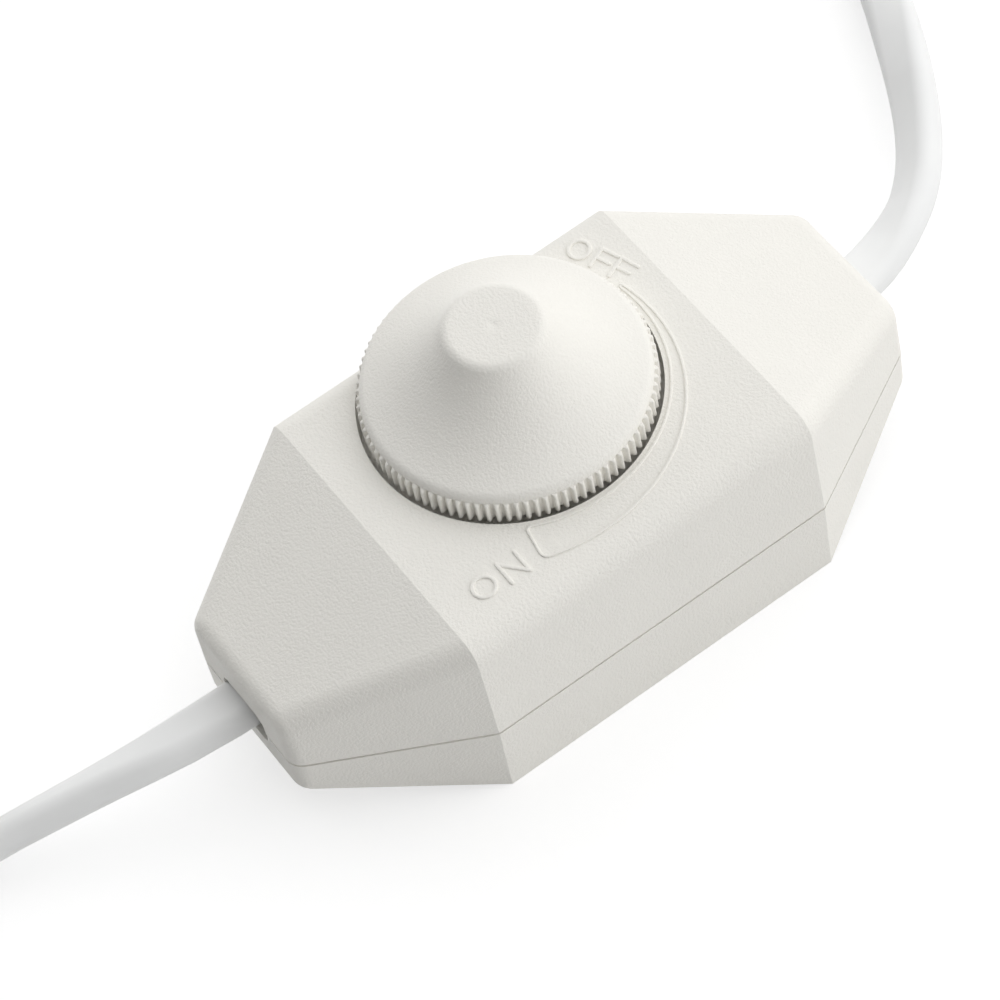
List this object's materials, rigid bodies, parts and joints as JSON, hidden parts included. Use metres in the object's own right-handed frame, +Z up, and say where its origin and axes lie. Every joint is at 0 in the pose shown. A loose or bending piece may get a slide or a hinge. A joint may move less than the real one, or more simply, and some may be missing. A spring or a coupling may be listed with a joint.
{
  "type": "rotary cord dimmer",
  "caption": "In-line lamp dimmer: white eight-sided housing with sloping ends, a ribbed bell knob that turns, flat cords at both ends and a flat plug.",
  "frame": {"origin": "middle of the flat underside, on the surface that it lies on", "axes": "+X along the housing towards the lamp cord, +Z up through the knob, -Y towards the front"},
  "size_m": [0.2872, 0.0808, 0.0401],
  "materials": {
    "housing_white": "fine matt texture",
    "knob_white": "fine matt texture",
    "cord_white": "smooth, slightly glossy",
    "plug_white": "smooth",
    "pin_nickel": "nickel plated",
    "screw_steel": "zinc plated",
    "bushing_brass": "turned",
    "shaft_aluminium": "turned",
    "can_steel": "tinned",
    "track_brown": "phenolic sheet",
    "rotor_black": "moulded",
    "switch_black": "moulded",
    "board_tan": "laminate",
    "sink_aluminium": "punched sheet",
    "package_black": "moulded",
    "ferrite_grey": "pressed ferrite",
    "winding_copper": "enamelled copper",
    "film_yellow": "dipped",
    "timing_green": "dipped",
    "diac_blue": "moulded",
    "resistor_tan": "lacquered",
    "fuse_brown": "lacquered",
    "live_brown": "smooth",
    "neutral_blue": "smooth",
    "clamp_grey": "moulded",
    "tie_black": "smooth",
    "ferrule_tin": "tinned"
  },
  "bodies": {
    "housing": {"top_housing": "housing_white", "bottom_cover": "housing_white", "pot_bushing": "bushing_brass", "pot_washer": "screw_steel", "pot_nut": "screw_steel", "pot_case": "can_steel", "pot_track": "track_brown", "switch_case": "switch_black", "circuit_board": "board_tan", "heat_sink": "sink_aluminium", "triac": "package_black", "choke_core": "ferrite_grey", "choke_winding": "winding_copper", "film_capacitor": "film_yellow", "timing_capacitor": "timing_green", "diac": "diac_blue", "fuse": "fuse_brown", "resistors": "resistor_tan", "line_clamp": "clamp_grey", "load_clamp": "clamp_grey", "clamp_screws": "screw_steel", "housing_screws": "screw_steel", "live_wire_in": "live_brown", "neutral_wire_in": "neutral_blue", "live_wire_out": "live_brown", "neutral_wire_out": "neutral_blue", "line_cord": "cord_white", "line_cord_coil": "cord_white", "coil_tie": "tie_black", "line_cord_tail": "cord_white", "plug_body": "plug_white", "plug_pins": "pin_nickel", "load_cord": "cord_white", "load_live_core": "live_brown", "load_neutral_core": "neutral_blue", "load_ferrules": "ferrule_tin"},
    "dial": {"knob": "knob_white", "pot_shaft": "shaft_aluminium", "pot_wiper": "rotor_black"}
  },
  "joints": [
    {"name": "knob_turn", "type": "hinge", "parent": "housing", "child": "dial", "pos_m": [0, 0.0052, 0.0273], "axis": [0, 0, -1], "range_deg": [0, 290]}
  ]
}
